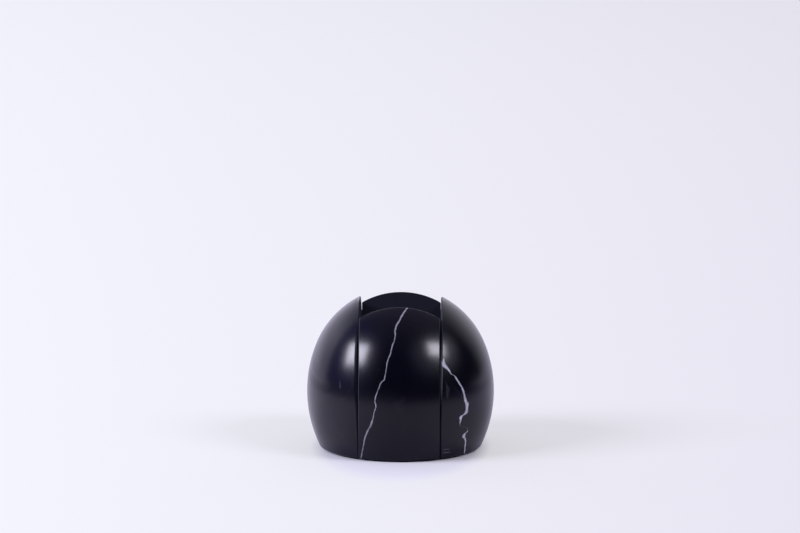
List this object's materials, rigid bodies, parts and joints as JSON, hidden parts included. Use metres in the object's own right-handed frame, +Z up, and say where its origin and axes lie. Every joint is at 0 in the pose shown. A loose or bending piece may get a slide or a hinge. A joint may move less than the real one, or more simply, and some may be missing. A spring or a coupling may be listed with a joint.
{
  "type": "pen cup",
  "caption": "Rounded black marble desk cup, sawn upright into a centre block and cheeks with dark shadow joints; a deep rectangular pocket with arched lips holds pens and pencils.",
  "frame": {"origin": "on the desk under the middle of the body, at the underside of the felt", "axes": "+Z up; the front faces -Y; +X to the right seen from the front, across the joints"},
  "size_m": [0.1, 0.1, 0.0806],
  "materials": {
    "black_marble": "honed",
    "dowel_steel": "ground",
    "spacer_nylon": "matte",
    "black_felt": "felted"
  },
  "bodies": {
    "root": {"left_cheek": "black_marble", "centre_block": "black_marble", "right_cheek": "black_marble", "left_front_dowel": "dowel_steel", "left_back_dowel": "dowel_steel", "right_front_dowel": "dowel_steel", "right_back_dowel": "dowel_steel", "left_front_spacer": "spacer_nylon", "left_back_spacer": "spacer_nylon", "right_front_spacer": "spacer_nylon", "right_back_spacer": "spacer_nylon", "base_felt": "black_felt"}
  },
  "joints": []
}
